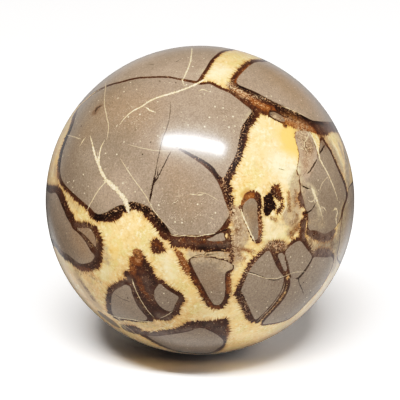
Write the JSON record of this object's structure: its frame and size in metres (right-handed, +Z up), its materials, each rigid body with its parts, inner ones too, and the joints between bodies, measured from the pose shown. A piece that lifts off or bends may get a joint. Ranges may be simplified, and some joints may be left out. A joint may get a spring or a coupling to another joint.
{
  "type": "polished septarian stone sphere",
  "caption": "Solid polished ball of septarian stone, grey limestone crossed by brown-edged cream calcite seams, on a small resting flat.",
  "frame": {"origin": "centre of the small flat under the ball, on the surface that it rests on", "axes": "+Z up through the ball's centre; the face with the broad cream seams, which the picture shows, looks along -Y"},
  "size_m": [0.085, 0.085, 0.0846],
  "materials": {
    "septarian_stone": "polished to a gloss, grey-brown limestone with dark brown aragonite rims and cream calcite seams"
  },
  "bodies": {
    "root": {"sphere": "septarian_stone"}
  },
  "joints": []
}
